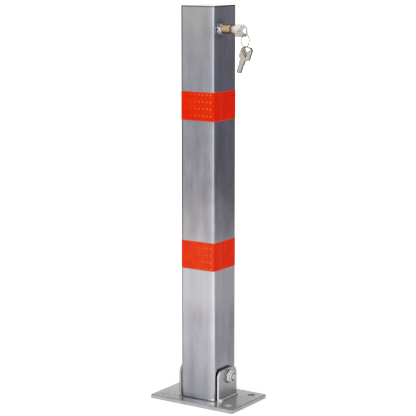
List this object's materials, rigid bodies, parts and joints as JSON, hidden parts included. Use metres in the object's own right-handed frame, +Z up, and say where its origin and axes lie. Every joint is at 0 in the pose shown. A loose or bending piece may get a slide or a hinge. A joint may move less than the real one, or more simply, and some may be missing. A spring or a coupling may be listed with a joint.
{
  "type": "fold-down parking post",
  "caption": "Square steel parking post that folds down on a drilled base plate, with a key-operated push lock, reflective bands and a spare key on a ring.",
  "frame": {"origin": "centre of the base plate's underside, where it meets the ground", "axes": "+Z up the post; +X along the hinge bolt towards the lock's side; +Y the way the post folds"},
  "size_m": [0.1604, 0.097, 0.602],
  "materials": {
    "plate_zinc": "bright zinc plate, glossy",
    "lug_zinc": "bright zinc plate, glossy",
    "weld_bead": "rippled weld bead under bright zinc",
    "bolt_zinc": "bright zinc plate",
    "nylon": "matte nylon",
    "tube_zinc": "galvanised, cloudy satin",
    "plain_steel": "plain turned steel",
    "spring_steel": "oiled spring steel",
    "reflective_tape": "glossy reflective film with a fine bead grid",
    "lock_chrome": "polished",
    "lock_brass": "polished",
    "key_nickel": "nickel plate, satin",
    "ring_steel": "nickel-plated wire"
  },
  "bodies": {
    "base": {"base_plate": "plate_zinc", "left_lug": "lug_zinc", "right_lug": "lug_zinc", "left_weld": "weld_bead", "right_weld": "weld_bead", "hinge_bolt": "bolt_zinc", "outer_washers": "bolt_zinc", "inner_washers": "bolt_zinc", "hinge_nut": "bolt_zinc", "nut_insert": "nylon"},
    "post": {"post_tube": "tube_zinc", "top_cap": "tube_zinc", "hinge_sleeve": "plain_steel", "upper_band": "reflective_tape", "lower_band": "reflective_tape", "lower_guide": "plain_steel", "upper_guide": "plain_steel", "spring_seat": "plain_steel", "return_spring": "spring_steel", "lock_housing": "lock_chrome", "lock_nut": "bolt_zinc"},
    "rod": {"lock_rod": "plain_steel", "rod_head": "plain_steel", "head_pin": "spring_steel"},
    "plunger": {"plunger": "lock_brass", "plunger_wedge": "plain_steel", "wedge_pin": "spring_steel"},
    "key_plug": {"key_plug": "lock_brass", "plug_clip": "spring_steel", "key": "key_nickel"},
    "key_ring": {"key_ring": "ring_steel"},
    "spare_key": {"spare_key": "key_nickel"}
  },
  "joints": [
    {"name": "post_fold", "type": "hinge", "parent": "base", "child": "post", "pos_m": [0, 0, 0.041], "axis": [-1, 0, 0], "range_deg": [0, 90]},
    {"name": "rod_drop", "type": "slide", "parent": "post", "child": "rod", "axis": [0, 0, -1], "range_m": [0, 0.008], "stiffness_N_per_m": 300, "springref_m": -0.03, "deforming": ["return_spring"]},
    {"name": "plunger_press", "type": "slide", "parent": "post", "child": "plunger", "axis": [-1, 0, 0], "range_m": [0, 0.014]},
    {"name": "key_turn", "type": "hinge", "parent": "plunger", "child": "key_plug", "pos_m": [0.04, -0.0155, 0.5683], "axis": [-1, 0, 0], "range_deg": [0, 90]},
    {"name": "ring_swing", "type": "hinge", "parent": "key_plug", "child": "key_ring", "pos_m": [0.0743, -0.0155, 0.56222], "axis": [0.0523, 0.9986, 0], "range_deg": [-25, 8]},
    {"name": "spare_swing", "type": "hinge", "parent": "key_ring", "child": "spare_key", "pos_m": [0.0743, -0.0155, 0.54282], "axis": [0.0523, 0.9986, 0], "range_deg": [-25, 8]}
  ],
  "couplings": [
    {"joint": "plunger_press", "follows": "rod_drop", "ratio": 1.75}
  ]
}
